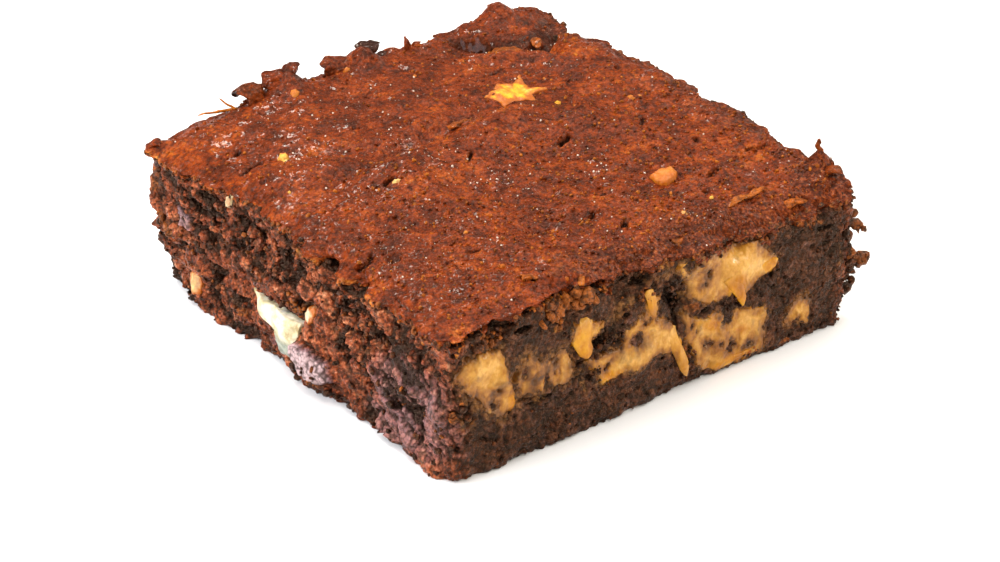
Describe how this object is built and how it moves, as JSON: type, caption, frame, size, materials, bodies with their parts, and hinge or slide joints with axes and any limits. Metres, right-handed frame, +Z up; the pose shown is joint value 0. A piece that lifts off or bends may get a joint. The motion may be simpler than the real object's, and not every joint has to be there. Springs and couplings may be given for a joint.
{
  "type": "chestnut brownie",
  "caption": "Square of dense chocolate brownie under a thin baked crust, with ribbons of chestnut cream running through it and pieces of chestnut in it.",
  "frame": {"origin": "centre of the flat underside, where the brownie stands", "axes": "+X along the cut front face that shows the cream, +Y from that face to the back, +Z up through the crust"},
  "size_m": [0.0726, 0.0712, 0.0275],
  "materials": {
    "baked_crumb": "dry velvety crust over a dense, moist, torn crumb",
    "chestnut_cream": "soft and sticky, shiny where it is wet",
    "chestnut": "mealy, broken chestnut flesh"
  },
  "bodies": {
    "root": {"brownie": "baked_crumb", "chestnut_cream_1": "chestnut_cream", "chestnut_cream_2": "chestnut_cream", "chestnut_cream_3": "chestnut_cream", "chestnut_cream_4": "chestnut_cream", "chestnut_cream_5": "chestnut_cream", "chestnut_cream_6": "chestnut_cream", "chestnut_cream_7": "chestnut_cream", "chestnut_side": "chestnut", "chestnut_crumb_pale": "chestnut", "chestnut_crumb_tan": "chestnut", "chestnut_top_back": "chestnut", "chestnut_top_front": "chestnut"}
  },
  "joints": []
}
